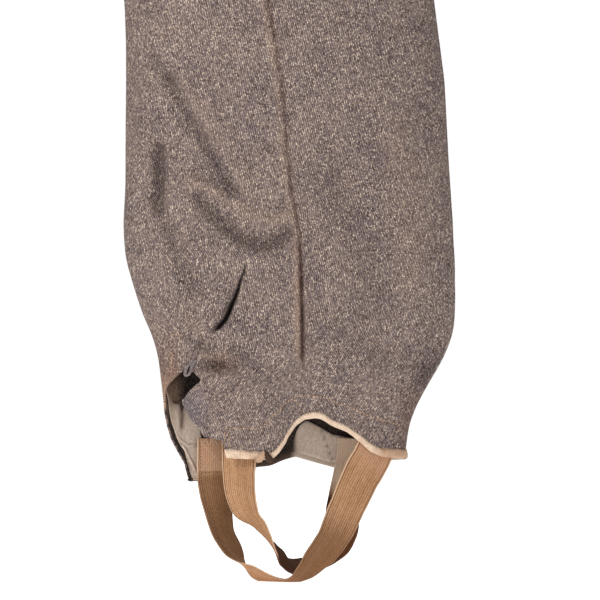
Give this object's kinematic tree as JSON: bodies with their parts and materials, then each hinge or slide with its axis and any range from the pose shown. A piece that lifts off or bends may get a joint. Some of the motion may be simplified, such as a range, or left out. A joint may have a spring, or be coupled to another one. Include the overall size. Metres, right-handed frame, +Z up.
{
  "type": "stirrup trousers",
  "caption": "Wool stirrup trousers with button fly, side slits at the ankles, arched bound hems and crossing elastic straps that pass under each foot.",
  "frame": {"origin": "on the ground under the crossing straps, midway between the two feet, in the plane through the leg tubes' centres", "axes": "+Z up, +X to the wearer's left, -Y to the front"},
  "size_m": [0.6654, 0.1655, 1.0583],
  "materials": {
    "wool": "heather twill, pressed",
    "cotton": "plain weave cotton",
    "tape": "cotton tape",
    "elastic": "ribbed elastic webbing",
    "horn": "polished horn",
    "steel": "satin"
  },
  "bodies": {
    "hips": {"hip_front_left": "wool", "hip_front_right": "wool", "hip_back_left": "wool", "hip_back_right": "wool", "pocket_bag_left": "cotton", "pocket_bag_right": "cotton", "pocket_welt_left": "wool", "pocket_welt_right": "wool", "waistband": "wool", "waistband_lining": "cotton", "waist_stud_post": "steel", "fly_shield": "wool", "fly_buttons": "horn", "belt_loops": "wool", "brace_buttons_front": "horn", "brace_buttons_back": "horn", "cinch_strap_left": "wool", "cinch_strap_right": "wool", "cinch_buckle": "steel", "back_pocket_bag": "cotton", "pocket_stud_post": "steel"},
    "fly": {"fly_flap": "wool", "waistband_tab": "wool", "waist_stud_cap": "steel"},
    "pocket_flap": {"back_pocket_flap": "wool", "pocket_stud_cap": "steel"},
    "prong": {"cinch_prong": "steel"},
    "thigh_left": {"thigh_front_left": "wool", "thigh_back_left": "wool"},
    "shin_left": {"shin_front_left": "wool", "shin_back_left": "wool", "hem_facing_front_left": "cotton", "hem_facing_back_left": "cotton", "slit_facing_left": "cotton", "hem_binding_front_left": "tape", "hem_binding_back_left": "tape", "slit_bar_tack_left": "cotton", "strap_ends_left": "elastic"},
    "stirrup_left": {"stirrup_strap_outer_left": "elastic", "stirrup_strap_inner_left": "elastic"},
    "thigh_right": {"thigh_front_right": "wool", "thigh_back_right": "wool"},
    "shin_right": {"shin_front_right": "wool", "shin_back_right": "wool", "hem_facing_front_right": "cotton", "hem_facing_back_right": "cotton", "slit_facing_right": "cotton", "hem_binding_front_right": "tape", "hem_binding_back_right": "tape", "slit_bar_tack_right": "cotton", "strap_ends_right": "elastic"},
    "stirrup_right": {"stirrup_strap_outer_right": "elastic", "stirrup_strap_inner_right": "elastic"}
  },
  "joints": [
    {"name": "hip_left", "type": "hinge", "parent": "hips", "child": "thigh_left", "pos_m": [0.14085, -0.077, 0.79], "axis": [-1, 0, 0], "range_deg": [0, 100]},
    {"name": "knee_left", "type": "hinge", "parent": "thigh_left", "child": "shin_left", "pos_m": [0.17617, 0.05853, 0.48], "axis": [1, 0, 0], "range_deg": [0, 120]},
    {"name": "stirrup_left", "type": "hinge", "parent": "shin_left", "child": "stirrup_left", "pos_m": [0.19924, 0.012, 0.085], "axis": [1, 0, 0], "range_deg": [-35, 30], "deforming": ["strap_ends_left"]},
    {"name": "hip_right", "type": "hinge", "parent": "hips", "child": "thigh_right", "pos_m": [-0.14085, -0.077, 0.79], "axis": [-1, 0, 0], "range_deg": [0, 100]},
    {"name": "knee_right", "type": "hinge", "parent": "thigh_right", "child": "shin_right", "pos_m": [-0.17617, 0.05853, 0.48], "axis": [1, 0, 0], "range_deg": [0, 120]},
    {"name": "stirrup_right", "type": "hinge", "parent": "shin_right", "child": "stirrup_right", "pos_m": [-0.19924, 0.012, 0.085], "axis": [1, 0, 0], "range_deg": [-35, 30], "deforming": ["strap_ends_right"]},
    {"name": "fly", "type": "hinge", "parent": "hips", "child": "fly", "pos_m": [0.0403, -0.0725, 0.95], "axis": [0, 0, 1], "range_deg": [0, 110]},
    {"name": "pocket_flap", "type": "hinge", "parent": "hips", "child": "pocket_flap", "pos_m": [-0.11948, 0.06657, 0.9503], "axis": [0.9766, 0.2151, 0], "range_deg": [0, 130]},
    {"name": "prong", "type": "hinge", "parent": "hips", "child": "prong", "pos_m": [0.012, 0.07, 0.988], "axis": [0, 0.1832, -0.9831], "range_deg": [0, 140]}
  ]
}
